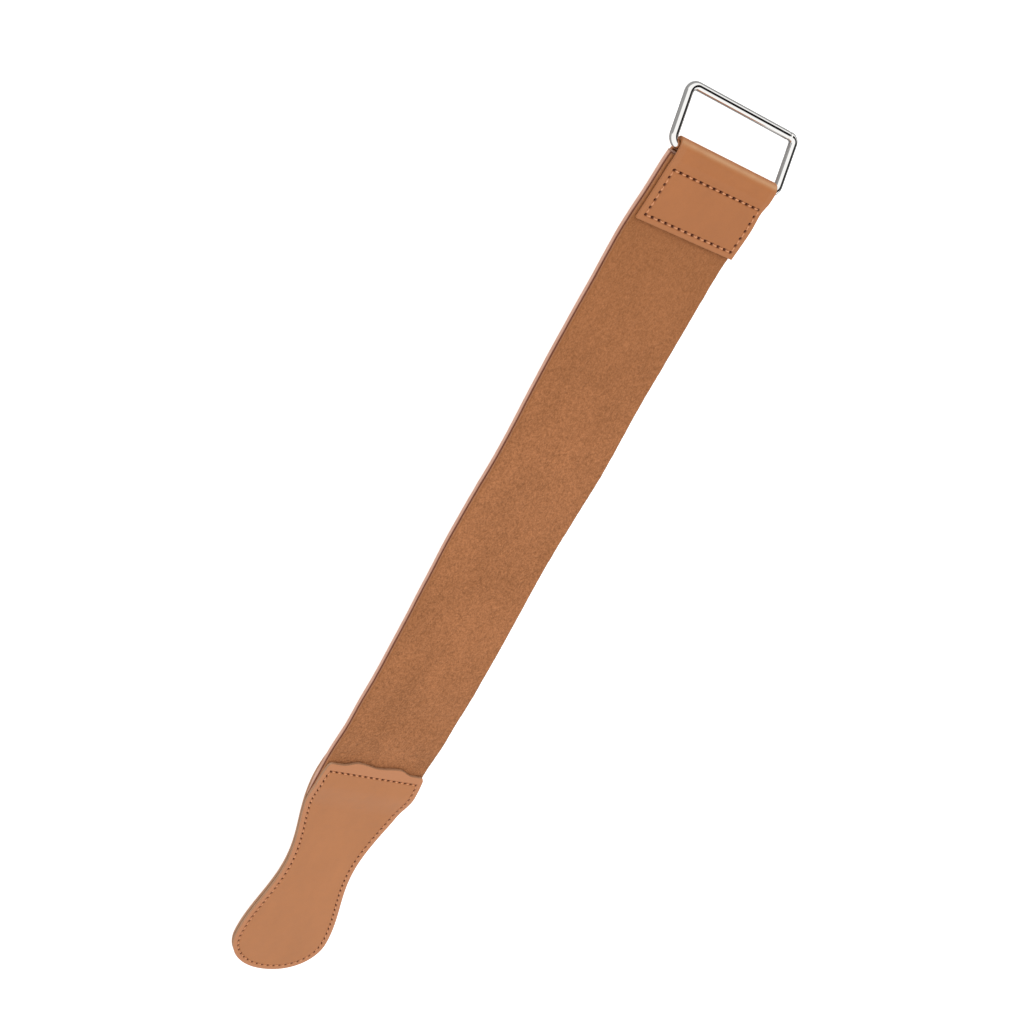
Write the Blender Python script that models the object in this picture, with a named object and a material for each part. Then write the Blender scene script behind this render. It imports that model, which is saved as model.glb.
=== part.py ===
"""Leather strop: two straps, a stitched leather handle and a wire ring in a folded leather hanger.

The strop lies with its suede face up. X runs across it, +Y from the handle to the ring, and Z is up from the
surface it lies on. Every leather piece is first laid out flat, cut and grooved, and then bent the way it lies.
"""

from math import acos, atan2, cos, hypot, pi, radians, sin, sqrt, tan

import bmesh
import bpy
import numpy as np
from mathutils import Vector

MM = 0.001

# Driving sizes, in millimetres.
STRAP_WIDTH = 50.0
BACK_STRAP_THICK = 3.2  # smooth leather
FRONT_STRAP_THICK = 2.0  # suede
COVER_THICK = 1.6  # handle covers and hanger
GAP = 0.3  # between pieces that touch
STRAP_TOP_END = 201.3  # the straps stop just short of the ring's bar
STRAP_HANDLE_END = -123.5  # and run this far into the handle, thinned out between its covers

HANGER_WIDTH = 49.6
HANGER_EDGE = 173.75  # free edges of the hanger's two flaps
HANGER_SHIFT = 0.4  # it is sewn on a little to the right
BACK_NARROWER = 0.06  # share of its width by which the hanger's back flap and the back cover's top are cut back
HANGER_BEND = 200.8  # where the flaps start to close on the bar
FOLD_SKEW = 0.55  # degrees: the fold isn't quite square to the straps
FOLD_GAP = 0.45  # the bar is loose in the fold
HANGER_SEAM = (176.7, 196.6)  # lower and upper row of its stitches
HANGER_SEAM_HALF = 22.2
HANGER_STITCHES = (13, 6)  # along a row, along a side

WIRE = 3.5  # diameter of the ring's wire
BAR_Y = 204.4  # the ring's bar, along the straps
RING_HALF = 27.35  # from the middle to the middle of a leg
RING_DEPTH = 22.9  # from the bar to the far bar
RING_BEND = 3.4  # middle radius of the bends
RING_TIGHT_BEND = 2.3  # the bend beside the wire's butt joint
RING_SIDES = 16
RING_SHIFT = 0.28  # it sits loosely, a little to the right and askew
RING_SKEW = 0.9  # degrees

HANDLE_TOP = -101.7
HANDLE_TIP = -226.95
CORNER = (24.7, 1.4)  # half width at the handle's top edge, and the radius there
SHOULDER = (-114.0, 25.8)  # along, half width
NECK = (-163.0, 17.9)
BULB = (-207.0, 24.2)
TIP_POWER = 2.1  # 2 is an ellipse
CREST_X, CREST_HIGH = 10.6, 2.5  # the two crests of the scalloped top edge
CREST_FOOT, VALLEY_DEEP = 18.4, 1.3
STEP_DOWN = (-113.1, -128.5)  # the covers close on each other along this stretch

HANDLE_SEAM_TOP = -106.0
HANDLE_SEAM_TOP_HALF = 22.5
SEAM_MARGIN = 2.45
STITCH = 2.9
THREAD = 0.55
GROOVE_WIDE, GROOVE_DEEP = 1.2, 0.9

# How the leather lies: it waves softly, each hump with its middle along the strop, half its length and its height.
HUMPS = ((184.0, 22.0, 1.5), (66.0, 42.0, 1.4), (-14.0, 34.0, 1.1), (-52.0, 47.0, 2.4), (-84.0, 18.5, 1.0))
FLAT = 115.0  # a place between the humps
RISE = (172.0, 202.0, 16.2)  # the ring's end turns up between these, to this many degrees
HANDLE_RISE = (-119.0, -150.0, 2.1)

TO_MIDDLE = (-0.4573, -0.4654)  # across and along: keeps the middle of the whole strop at the origin

# Heights of the layers where the strop lies flat.
BACK_STRAP_LOW = COVER_THICK + GAP
BACK_STRAP_HIGH = BACK_STRAP_LOW + BACK_STRAP_THICK
FRONT_STRAP_LOW = BACK_STRAP_HIGH + GAP
FRONT_STRAP_HIGH = FRONT_STRAP_LOW + FRONT_STRAP_THICK
FRONT_COVER_LOW = FRONT_STRAP_HIGH + GAP
STACK_HIGH = FRONT_COVER_LOW + COVER_THICK
MIDDLE = STACK_HIGH / 2


def smooth(t):
    """0 below 0, 1 above 1, and an even S between."""
    t = min(1.0, max(0.0, t))
    return t * t * (3 - 2 * t)


def slope(s):
    """The angle at which the strop climbs towards the ring, at a place along it."""
    a = 0.0
    for middle, half, high in HUMPS:
        if abs(s - middle) < half:
            a -= high * pi / (2 * half) * sin(pi * (s - middle) / half)
    start, end, most = RISE
    a += radians(most) * min(1.0, max(0.0, (s - start) / (end - start)))
    start, end, most = HANDLE_RISE
    a -= radians(most) * min(1.0, max(0.0, (s - start) / (end - start)))
    return a


FINE = np.arange(-240.0, 220.0, 0.5)
ANGLES = np.array([slope(s) for s in FINE])


def summed(values):
    """The running integral over FINE, zero where the strop lies flat."""
    total = np.concatenate([[0.0], np.cumsum((values[1:] + values[:-1]) / 2 * 0.5)])
    return total - np.interp(FLAT, FINE, total)


LINE_Y = FLAT + summed(np.cos(ANGLES))
LINE_Z = summed(np.sin(ANGLES))


def lay(x, s, h):
    """A place in the flat stack, x across, s along and h high, as it lies: in millimetres."""
    a = np.interp(s, FINE, ANGLES)
    y = TO_MIDDLE[1] + np.interp(s, FINE, LINE_Y) - (h - MIDDLE) * sin(a)
    z = np.interp(s, FINE, LINE_Z) + MIDDLE + (h - MIDDLE) * cos(a)
    return x + TO_MIDDLE[0], y, z


def stations():
    """Where every layer is cut across, so that it can bend."""
    waves = list(np.arange(-108.0, 160.0, 6.0))
    rise = [RISE[0] + (RISE[1] - RISE[0]) * t / 8 for t in range(9)]
    rise += [162.0, 165.0, 168.5]
    handle = [STEP_DOWN[0] + (STEP_DOWN[1] - STEP_DOWN[0]) * t / 6 for t in range(7)]
    handle += [HANDLE_RISE[1], -165.0, -185.0, -205.0]
    return sorted(waves + rise + handle)


def shown(name, bm, colour, roughness, metallic=0.0, origin=(0, 0, 0), round_piece=False):
    """A closed bmesh in millimetres becomes an object in metres."""
    bmesh.ops.remove_doubles(bm, verts=bm.verts, dist=0.001)
    bmesh.ops.dissolve_degenerate(bm, dist=0.0005, edges=bm.edges)
    bmesh.ops.recalc_face_normals(bm, faces=bm.faces)
    bmesh.ops.triangulate(bm, faces=bm.faces)
    for v in bm.verts:
        v.co = (v.co - Vector(origin)) * MM
    mesh = bpy.data.meshes.new(name)
    bm.to_mesh(mesh)
    bm.free()
    for face in mesh.polygons:
        face.use_smooth = round_piece
    thing = bpy.data.objects.new(name, mesh)
    thing.location = Vector(origin) * MM
    bpy.context.collection.objects.link(thing)
    look = bpy.data.materials.new(name + "_material")
    look.use_nodes = True
    shader = look.node_tree.nodes["Principled BSDF"]
    shader.inputs["Base Color"].default_value = (*colour, 1)
    shader.inputs["Roughness"].default_value = roughness
    shader.inputs["Metallic"].default_value = metallic
    mesh.materials.append(look)
    return thing


def plate(outline, thick, cuts):
    """A flat plate of that outline, from 0 to thick, cut across at the stations."""
    bm = bmesh.new()
    low = [bm.verts.new((x, y, 0)) for x, y in outline]
    high = [bm.verts.new((x, y, thick)) for x, y in outline]
    bm.faces.new(low[::-1])
    bm.faces.new(high)
    for i in range(len(outline)):
        j = (i + 1) % len(outline)
        bm.faces.new((low[i], low[j], high[j], high[i]))
    near, far = min(y for _, y in outline), max(y for _, y in outline)
    for s in cuts:
        if near + 0.3 < s < far - 0.3:
            everything = bm.verts[:] + bm.edges[:] + bm.faces[:]
            bmesh.ops.bisect_plane(bm, geom=everything, plane_co=(0, s, 0), plane_no=(0, 1, 0), dist=1e-4)
    return bm


def loop_normals(path):
    """The mitred normal at every point of a closed path, pointing to its right."""
    out = []
    for i, (x, y) in enumerate(path):
        ax, ay = x - path[i - 1][0], y - path[i - 1][1]
        bx, by = path[(i + 1) % len(path)][0] - x, path[(i + 1) % len(path)][1] - y
        la, lb = hypot(ax, ay), hypot(bx, by)
        nx, ny = ay / la + by / lb, -ax / la - bx / lb
        size = (nx * nx + ny * ny) / 2
        out.append((nx / size, ny / size))
    return out


def sweep(path, wide, heights):
    """A closed ring of rectangular section along a closed path; heights gives its low and high side."""
    bm = bmesh.new()
    rows = []
    for i, ((x, y), (nx, ny)) in enumerate(zip(path, loop_normals(path))):
        low, high = heights(i)
        corners = ((-1, low), (1, low), (1, high), (-1, high))
        rows.append([bm.verts.new((x + k * nx * wide / 2, y + k * ny * wide / 2, t)) for k, t in corners])
    for i, row in enumerate(rows):
        after = rows[(i + 1) % len(rows)]
        for k in range(4):
            m = (k + 1) % 4
            bm.faces.new((row[k], row[m], after[m], after[k]))
    return bm


def grooved(bm, paths, thick):
    """The plate with the channel of each seam pressed into its upper face."""
    mesh = bpy.data.meshes.new("plate")
    bm.to_mesh(mesh)
    bm.free()
    thing = bpy.data.objects.new("plate", mesh)
    bpy.context.collection.objects.link(thing)
    spent = [thing]
    for path in paths:
        cut = sweep(path, GROOVE_WIDE, lambda i: (thick - GROOVE_DEEP, thick + 1.0))
        bmesh.ops.recalc_face_normals(cut, faces=cut.faces)
        cutter_mesh = bpy.data.meshes.new("groove")
        cut.to_mesh(cutter_mesh)
        cut.free()
        cutter = bpy.data.objects.new("groove", cutter_mesh)
        cutter.hide_render = True
        cutter.display_type = "WIRE"
        bpy.context.collection.objects.link(cutter)
        spent.append(cutter)
        step = thing.modifiers.new("groove", "BOOLEAN")
        step.operation, step.solver, step.object = "DIFFERENCE", "EXACT", cutter
    bpy.context.view_layer.update()
    result = bmesh.new()
    result.from_mesh(thing.evaluated_get(bpy.context.evaluated_depsgraph_get()).to_mesh())
    for old in spent:
        bpy.data.objects.remove(old)
    return result


def moved(bm, place):
    """Every vertex goes to place(x, y, t); the faces are made triangles before they bend."""
    bmesh.ops.triangulate(bm, faces=bm.faces)
    for v in bm.verts:
        v.co = place(*v.co)
    return bm


def resampled(path, step):
    """An even number of points at equal distances along a closed path."""
    closed = np.array(path + path[:1])
    along = np.concatenate([[0], np.cumsum(np.hypot(*np.diff(closed, axis=0).T))])
    count = 2 * round(along[-1] / step / 2)
    at = np.arange(count) * along[-1] / count
    return [(float(np.interp(d, along, closed[:, 0])), float(np.interp(d, along, closed[:, 1]))) for d in at]


def bends_at(path, i):
    """Whether a closed path leaves the straight line between its neighbours at a point."""
    (ax, ay), (x, y), (bx, by) = path[i - 1], path[i], path[(i + 1) % len(path)]
    return abs((bx - ax) * (y - ay) - (by - ay) * (x - ax)) > 0.08 * hypot(bx - ax, by - ay)


def stitched(path, surface, proud):
    """The thread of a seam: it lies over one stitch and dips at each hole, inside the seam's channel."""
    top = surface + (THREAD / 2 if proud else -0.05)

    def heights(i):
        high = top - (0 if i % 2 else 0.3 if proud else 0.12)
        return high - THREAD, high

    return sweep(path, THREAD, heights)


# Outline of the handle.


def half_width(s):
    """Half the handle's width, from its shoulder to the widest place of its bulb."""
    (a, wide), (b, narrow), (c, bulb) = SHOULDER, NECK, BULB
    if s > a:
        t = (s - a) / (HANDLE_TOP - a)
        return wide - (wide - CORNER[0]) * t * t
    if s > b:
        return wide - (wide - narrow) * (1 - cos(pi * (s - a) / (b - a))) / 2
    return narrow + (bulb - narrow) * (1 - cos(pi * (s - b) / (c - b))) / 2


def side(count=26):
    """The right-hand side of the handle from its top corner to the middle of its tip."""
    points = [(half_width(s), s) for s in np.linspace(HANDLE_TOP - CORNER[1], BULB[0], count)]
    long = BULB[0] - HANDLE_TIP
    for i in range(1, 13):
        a = pi / 2 * i / 12
        points.append((BULB[1] * cos(a) ** (2 / TIP_POWER), BULB[0] - long * sin(a) ** (2 / TIP_POWER)))
    points[-1] = (0.0, HANDLE_TIP)
    return points


def scallop(x):
    """How far the top edge stands above its ends, at a place across it."""
    x = abs(x)
    if x > CREST_X:
        return CREST_HIGH * (1 + cos(pi * min(1.0, (x - CREST_X) / (CREST_FOOT - CREST_X)))) / 2
    return CREST_HIGH - VALLEY_DEEP * (1 + cos(pi * x / CREST_X)) / 2


def handle_outline():
    right = side()
    left = [(-x, y) for x, y in right[-2::-1]]
    wide, radius = CORNER
    across = np.linspace(wide - radius, -(wide - radius), 33)
    top = [(float(x), HANDLE_TOP + scallop(x)) for x in across]
    bends = []
    for i in range(1, 4):
        a = pi / 2 * i / 4
        bends.append((wide - radius * (1 - cos(a)), HANDLE_TOP - radius * (1 - sin(a))))
    bends_left = [(-x, y) for x, y in bends[::-1]]
    # Round it goes: up the left side, over the top edge to the right, and down the right side.
    round_trip = right + left + bends_left + top[::-1] + bends[::-1]
    return round_trip[::-1]


def handle_seam():
    """The closed path of the handle's stitches, a fixed margin inside its edge."""
    edge = side(60)
    inner = []
    for i in range(1, len(edge) - 1):
        (ax, ay), (bx, by) = edge[i - 1], edge[i + 1]
        size = hypot(bx - ax, by - ay)
        x = edge[i][0] + (by - ay) / size * SEAM_MARGIN
        y = edge[i][1] - (bx - ax) / size * SEAM_MARGIN
        if y < HANDLE_SEAM_TOP - 1.8:
            inner.append((x, y))
    half = HANDLE_SEAM_TOP_HALF
    right = [(half, HANDLE_SEAM_TOP)] + inner + [(0.0, HANDLE_TIP + SEAM_MARGIN)]
    left = [(-x, y) for x, y in right[-2::-1]]
    return right + left


def closing(s):
    """0 above the straps' ends, 1 where the two covers lie against each other."""
    return smooth((s - STEP_DOWN[0]) / (STEP_DOWN[1] - STEP_DOWN[0]))


def on_front_cover(x, y, t):
    low = FRONT_COVER_LOW + (MIDDLE + GAP / 2 - FRONT_COVER_LOW) * closing(y)
    return lay(x, y, low + t)


def on_back_cover(x, y, t):
    high = COVER_THICK + (MIDDLE - GAP / 2 - COVER_THICK) * closing(y)
    return lay(x * (1 - BACK_NARROWER * (1 - closing(y))), y, high - t)


THINNING = (FRONT_COVER_LOW - MIDDLE - GAP / 2) / (FRONT_STRAP_HIGH - MIDDLE)


def on_strap(x, y, h):
    """A place in the straps, which are thinned where the covers close on each other."""
    return lay(x, y, MIDDLE + (h - MIDDLE) * (1 - THINNING * closing(y)))


# The hanger, developed flat: u runs from the front flap's edge over the fold to the back flap's edge.

FOLD_MIDDLE = WIRE / 2 + FOLD_GAP + COVER_THICK / 2  # radius of the leather's middle round the bar
FLAP_HIGH = MIDDLE - COVER_THICK / 2  # from the strop's middle plane to the middle of a flap
FLAP_LONG = HANGER_BEND - HANGER_EDGE


def hanger_line():
    """The middle of the hanger's leather in the plane of s and h, from one free edge to the other."""
    dx, dz = HANGER_BEND - BAR_Y, FLAP_HIGH
    tangent = atan2(dz, dx) - acos(FOLD_MIDDLE / hypot(dx, dz))
    steps = 14
    arc = [tangent - 2 * tangent * i / steps for i in range(steps + 1)]
    fold = [(BAR_Y + FOLD_MIDDLE * cos(a), MIDDLE + FOLD_MIDDLE * sin(a)) for a in arc]
    rise = [s for s in stations() if HANGER_EDGE + 1 < s < HANGER_BEND - 1]
    front = [(s, MIDDLE + FLAP_HIGH) for s in [HANGER_EDGE] + rise + [HANGER_BEND]]
    back = [(s, MIDDLE - FLAP_HIGH) for s, _ in front[::-1]]
    return front + fold + back


LEATHER = hanger_line()
ALONG = [0.0]
for before, after in zip(LEATHER, LEATHER[1:]):
    ALONG.append(ALONG[-1] + hypot(after[0] - before[0], after[1] - before[1]))
HANGER_LONG = ALONG[-1]


def hanger_normals():
    """The outward normal of the hanger's leather at every point of its line."""
    out = []
    for i in range(len(LEATHER)):
        a, b = LEATHER[max(0, i - 1)], LEATHER[min(len(LEATHER) - 1, i + 1)]
        size = hypot(b[0] - a[0], b[1] - a[1])
        out.append((-(b[1] - a[1]) / size, (b[0] - a[0]) / size))
    return out


NORMALS = hanger_normals()


def on_hanger(x, u, t):
    """A place on the developed hanger, t from its inner face, as it lies round the bar."""
    s = np.interp(u, ALONG, [p[0] for p in LEATHER])
    h = np.interp(u, ALONG, [p[1] for p in LEATHER])
    n_s = np.interp(u, ALONG, [n[0] for n in NORMALS])
    n_h = np.interp(u, ALONG, [n[1] for n in NORMALS])
    size = sqrt(n_s * n_s + n_h * n_h)
    off = (t - COVER_THICK / 2) / size
    skew = tan(radians(FOLD_SKEW)) * min(1.0, max(0.0, (s - HANGER_SEAM[1]) / (HANGER_BEND - HANGER_SEAM[1])))
    x *= 1 - BACK_NARROWER * smooth((u / HANGER_LONG - 0.5) / 0.1)
    return lay(x + HANGER_SHIFT, s + n_s * off - x * skew, h + n_h * off)


def hanger_seam(back):
    """The closed rectangle of stitches, on the developed hanger."""
    low, high = (s - HANGER_EDGE for s in HANGER_SEAM)
    if back:
        low, high = HANGER_LONG - high, HANGER_LONG - low
    across, along = HANGER_STITCHES
    half = HANGER_SEAM_HALF
    corners = [(-half, low), (-half, high), (half, high), (half, low)]
    points = []
    for k in range(4):
        (ax, ay), (bx, by) = corners[k], corners[(k + 1) % 4]
        count = 2 * (along, across)[k % 2]
        points += [(ax + (bx - ax) * i / count, ay + (by - ay) * i / count) for i in range(count)]
    return points


def build_hanger():
    half = HANGER_WIDTH / 2
    outline = [(-half, 0), (half, 0), (half, HANGER_LONG), (-half, HANGER_LONG)]
    bm = plate(outline, COVER_THICK, ALONG[1:-1])
    bm = grooved(bm, [hanger_seam(False), hanger_seam(True)], COVER_THICK)
    shown("hanger_leather", moved(bm, on_hanger), (0.46, 0.19, 0.075), 0.5)
    for name, back in (("hanger_front_thread", False), ("hanger_back_thread", True)):
        bm = stitched(hanger_seam(back), COVER_THICK, not back)
        shown(name, moved(bm, on_hanger), (0.42, 0.19, 0.10), 0.6)


def build_handle():
    seam = handle_seam()
    holes = resampled(seam, STITCH / 2)
    channel = [p for i, p in enumerate(holes) if i % 2 == 0 or bends_at(holes, i)]
    for name, place in (("handle_front_cover", on_front_cover), ("handle_back_cover", on_back_cover)):
        bm = plate(handle_outline(), COVER_THICK, stations())
        bm = grooved(bm, [channel], COVER_THICK)
        shown(name, moved(bm, place), (0.49, 0.21, 0.095), 0.5)
    for name, place in (("handle_front_thread", on_front_cover), ("handle_back_thread", on_back_cover)):
        bm = stitched(holes, COVER_THICK, place is on_front_cover)
        shown(name, moved(bm, place), (0.42, 0.19, 0.10), 0.6)


def build_straps():
    half = STRAP_WIDTH / 2
    outline = [(-half, STRAP_HANDLE_END), (half, STRAP_HANDLE_END), (half, STRAP_TOP_END), (-half, STRAP_TOP_END)]
    layers = (
        ("back_strap", BACK_STRAP_LOW, BACK_STRAP_THICK, (0.52, 0.23, 0.11), 0.45),
        ("front_strap", FRONT_STRAP_LOW, FRONT_STRAP_THICK, (0.40, 0.155, 0.06), 0.95),
    )
    for name, low, thick, colour, roughness in layers:
        bm = plate(outline, thick, stations())
        shown(name, moved(bm, lambda x, y, t: on_strap(x, y, low + t)), colour, roughness)


def bar_place():
    """The middle of the ring's bar, in the fold of the hanger."""
    return lay(RING_SHIFT, BAR_Y, MIDDLE)


def ring_path():
    """The middle of the ring's wire in its own plane: across, and out from the bar."""
    corners = [
        (RING_HALF, 0.0, RING_BEND),
        (RING_HALF, RING_DEPTH, RING_TIGHT_BEND),
        (-RING_HALF, RING_DEPTH, RING_BEND),
        (-RING_HALF, 0.0, RING_BEND),
    ]
    points = []
    for i, (x, y, r) in enumerate(corners):
        first = -pi / 2 + i * pi / 2
        cx, cy = x - r * (1 if x > 0 else -1), y + r * (1 if y == 0 else -1)
        for k in range(8):
            a = first + pi / 2 * k / 7
            points.append((cx + r * cos(a), cy + r * sin(a)))
    return points


def build_ring():
    """A bent round wire; its far bar rests on the surface that the strop lies on."""
    bar_x, bar_y, bar_z = bar_place()
    droop = -atan2(bar_z - WIRE / 2, sqrt(RING_DEPTH**2 - (bar_z - WIRE / 2) ** 2))
    turned = radians(RING_SKEW)
    path = ring_path()
    bm = bmesh.new()
    rows = []
    for (x, d), (nx, ny) in zip(path, loop_normals(path)):
        row = []
        for k in range(RING_SIDES):
            a = 2 * pi * (k + 0.5) / RING_SIDES
            across, out, up = x + nx * cos(a) * WIRE / 2, d + ny * cos(a) * WIRE / 2, sin(a) * WIRE / 2
            forward = out * cos(droop) - up * sin(droop)
            z = bar_z + out * sin(droop) + up * cos(droop)
            x_out = bar_x + across * cos(turned) + forward * sin(turned)
            y_out = bar_y - across * sin(turned) + forward * cos(turned)
            row.append(bm.verts.new((x_out, y_out, z)))
        rows.append(row)
    for i, row in enumerate(rows):
        after = rows[(i + 1) % len(rows)]
        for k in range(RING_SIDES):
            m = (k + 1) % RING_SIDES
            bm.faces.new((row[k], row[m], after[m], after[k]))
    shown("hanger_ring", bm, (0.80, 0.79, 0.77), 0.08, 1.0, (bar_x, bar_y, bar_z), True)


for old in list(bpy.data.objects):
    bpy.data.objects.remove(old)
build_straps()
build_hanger()
build_handle()
build_ring()
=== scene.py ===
"""A leather strop on a pale floor: suede over smooth leather, a stitched handle and a wire ring.

The leather is shaped flat, in millimetres: x across, s along and t through it. lay() then bends it the
way the strop lies and turns it into metres.
"""

from math import acos, atan2, cos, hypot, pi, radians, sin, tan

import bmesh
import bpy
import numpy as np
from mathutils import Matrix, Vector


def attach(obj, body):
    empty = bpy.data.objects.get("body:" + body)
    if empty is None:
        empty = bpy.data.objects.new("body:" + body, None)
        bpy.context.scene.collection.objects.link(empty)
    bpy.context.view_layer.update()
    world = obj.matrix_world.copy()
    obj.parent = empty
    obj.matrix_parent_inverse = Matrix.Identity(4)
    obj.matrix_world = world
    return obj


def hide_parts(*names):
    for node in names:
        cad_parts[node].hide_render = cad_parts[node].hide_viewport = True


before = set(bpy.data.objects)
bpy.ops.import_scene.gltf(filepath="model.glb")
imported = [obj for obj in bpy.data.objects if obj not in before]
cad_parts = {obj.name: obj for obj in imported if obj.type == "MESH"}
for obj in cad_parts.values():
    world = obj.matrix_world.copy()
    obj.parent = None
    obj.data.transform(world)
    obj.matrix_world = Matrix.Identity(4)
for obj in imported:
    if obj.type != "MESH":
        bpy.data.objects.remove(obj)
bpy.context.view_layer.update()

MM = 0.001

# Driving sizes, in millimetres, as the CAD has them.
STRAP_WIDTH = 50.0
BACK_STRAP_THICK = 3.2  # smooth leather
FRONT_STRAP_THICK = 2.0  # suede
COVER_THICK = 1.6  # handle covers and hanger
COVER_ROUND = 0.3  # radius of their rubbed edges
GAP = 0.3  # between pieces that touch
STRAP_TOP_END = 201.3
STRAP_HANDLE_END = -123.5

HANGER_WIDTH = 49.6
HANGER_EDGE = 173.75  # free edges of the hanger's two flaps
HANGER_SHIFT = 0.4  # it is sewn on a little to the right
HANGER_BEND = 200.8  # where the flaps start to close on the bar
BACK_NARROWER = 0.06  # share of its width by which its back flap, and the back cover's top, are cut back
FOLD_SKEW = 0.55  # degrees: the fold isn't quite square to the straps
FOLD_GAP = 0.45  # the bar is loose in the fold
HANGER_SEAM = (176.7, 196.6)  # lower and upper row of its stitches
HANGER_SEAM_HALF = 22.2
HANGER_STITCHES = (13, 6)  # along a row, along a side

WIRE = 3.5  # diameter of the ring's wire
BAR_Y = 204.4  # the ring's bar, along the straps
RING_HALF = 27.35  # from the middle to the middle of a leg
RING_DEPTH = 22.9  # from the bar to the far bar
RING_BEND = 3.4  # middle radius of the bends
RING_TIGHT_BEND = 2.3  # the bend beside the wire's butt joint
RING_SHIFT = 0.28  # it sits loosely, a little to the right and askew
RING_SKEW = 0.9  # degrees

HANDLE_TOP = -101.7
HANDLE_TIP = -226.95
CORNER = (24.7, 1.4)  # half width at the handle's top edge, and the radius there
SHOULDER = (-114.0, 25.8)  # along, half width
NECK = (-163.0, 17.9)
BULB = (-207.0, 24.2)
TIP_POWER = 2.1  # 2 is an ellipse
CREST_X, CREST_HIGH = 10.6, 2.5  # the two crests of the scalloped top edge
CREST_FOOT, VALLEY_DEEP = 18.4, 1.3
STEP_DOWN = (-113.1, -128.5)  # the covers close on each other along this stretch

HANDLE_SEAM_TOP = -106.0
HANDLE_SEAM_TOP_HALF = 22.5
SEAM_MARGIN = 2.45
SEAM_SIDE_LONG = 127.5  # from the seam's top corner to the middle of the tip
STITCH = 2.9
TOP_STITCHES = 15

# How the leather lies: it waves softly, each hump with its middle along the strop, half its length and
# its height.
HUMPS = ((184.0, 22.0, 1.5), (66.0, 42.0, 1.4), (-14.0, 34.0, 1.1), (-52.0, 47.0, 2.4), (-84.0, 18.5, 1.0))
FLAT = 115.0  # a place between the humps
RISE = (172.0, 202.0, 16.2)  # the ring's end turns up between these, to this many degrees
HANDLE_RISE = (-119.0, -150.0, 2.1)

TO_MIDDLE = (-0.4573, -0.4654)  # across and along: keeps the middle of the whole strop at the origin

# Heights of the layers where the strop lies flat.
BACK_STRAP_LOW = COVER_THICK + GAP
FRONT_STRAP_LOW = BACK_STRAP_LOW + BACK_STRAP_THICK + GAP
FRONT_STRAP_HIGH = FRONT_STRAP_LOW + FRONT_STRAP_THICK
FRONT_COVER_LOW = FRONT_STRAP_HIGH + GAP
STACK_HIGH = FRONT_COVER_LOW + COVER_THICK
MIDDLE = STACK_HIGH / 2

# How much of their thickness the straps lose where the covers close on each other.
THINNING = (FRONT_COVER_LOW - MIDDLE - GAP / 2) / (FRONT_STRAP_HIGH - MIDDLE)

# How fine the meshes are.
FINE_STEP = 0.5  # millimetres between the places at which the strop's bend is worked out
SAMPLES = 10  # mesh points along one stitch
STRAP_ROWS = 400
STRAP_COLUMNS = 90
RUB_STEPS = 7  # over a rubbed edge


# How the leather lies.


def slope(s):
    """The angle at which the strop climbs towards the ring, at a place along it."""
    a = 0.0
    for middle, half, high in HUMPS:
        if abs(s - middle) < half:
            a -= high * pi / (2 * half) * sin(pi * (s - middle) / half)
    start, end, most = RISE
    a += radians(most) * min(1.0, max(0.0, (s - start) / (end - start)))
    start, end, most = HANDLE_RISE
    a -= radians(most) * min(1.0, max(0.0, (s - start) / (end - start)))
    return a


FINE = np.arange(-240.0, 220.0, FINE_STEP)
ANGLES = np.array([slope(s) for s in FINE])


def summed(values):
    """The running integral over FINE, zero where the strop lies flat."""
    total = np.concatenate([[0.0], np.cumsum((values[1:] + values[:-1]) / 2 * FINE_STEP)])
    return total - np.interp(FLAT, FINE, total)


LINE_Y = FLAT + summed(np.cos(ANGLES))
LINE_Z = summed(np.sin(ANGLES))


def lay(x, s, h):
    """Places in the flat stack, as they lie: in metres."""
    a = np.interp(s, FINE, ANGLES)
    y = TO_MIDDLE[1] + np.interp(s, FINE, LINE_Y) - (h - MIDDLE) * np.sin(a)
    z = np.interp(s, FINE, LINE_Z) + MIDDLE + (h - MIDDLE) * np.cos(a)
    return np.stack(np.broadcast_arrays(x + TO_MIDDLE[0], y, z), axis=-1) * MM


def smooth(t):
    """0 below 0, 1 above 1, and an even S between."""
    t = np.clip(t, 0.0, 1.0)
    return t * t * (3 - 2 * t)


def closing(s):
    """0 where the handle's covers lie over the straps, 1 where they lie against each other."""
    return smooth((s - STEP_DOWN[0]) / (STEP_DOWN[1] - STEP_DOWN[0]))


def on_front_cover(x, s, t):
    """Places on the front cover, t from its inner face, as it lies."""
    low = FRONT_COVER_LOW + (MIDDLE + GAP / 2 - FRONT_COVER_LOW) * closing(s)
    return lay(x, s, low + t)


def on_back_cover(x, s, t):
    """Places on the back cover, t from its inner face, as it lies."""
    high = COVER_THICK + (MIDDLE - GAP / 2 - COVER_THICK) * closing(s)
    return lay(x * (1 - BACK_NARROWER * (1 - closing(s))), s, high - t)


def on_strap(x, s, h):
    """Places on a strap, h high in the stack: it is thinned where the covers close on each other."""
    return lay(x, s, MIDDLE + (h - MIDDLE) * (1 - THINNING * closing(s)))


def hanger_line():
    """The middle of the hanger's leather in the plane of s and h, from one free edge to the other."""
    high = MIDDLE - COVER_THICK / 2
    dx = HANGER_BEND - BAR_Y
    round_it = WIRE / 2 + FOLD_GAP + COVER_THICK / 2
    tangent = atan2(high, dx) - acos(round_it / hypot(dx, high))
    arc = np.linspace(tangent, -tangent, 41)
    fold = np.stack([BAR_Y + round_it * np.cos(arc), MIDDLE + round_it * np.sin(arc)], axis=1)
    flat = np.arange(HANGER_EDGE, HANGER_BEND, FINE_STEP)
    flat = np.append(flat, HANGER_BEND)
    front = np.stack([flat, np.full(len(flat), MIDDLE + high)], axis=1)
    back = np.stack([flat[::-1], np.full(len(flat), MIDDLE - high)], axis=1)
    return np.concatenate([front, fold, back])


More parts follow.
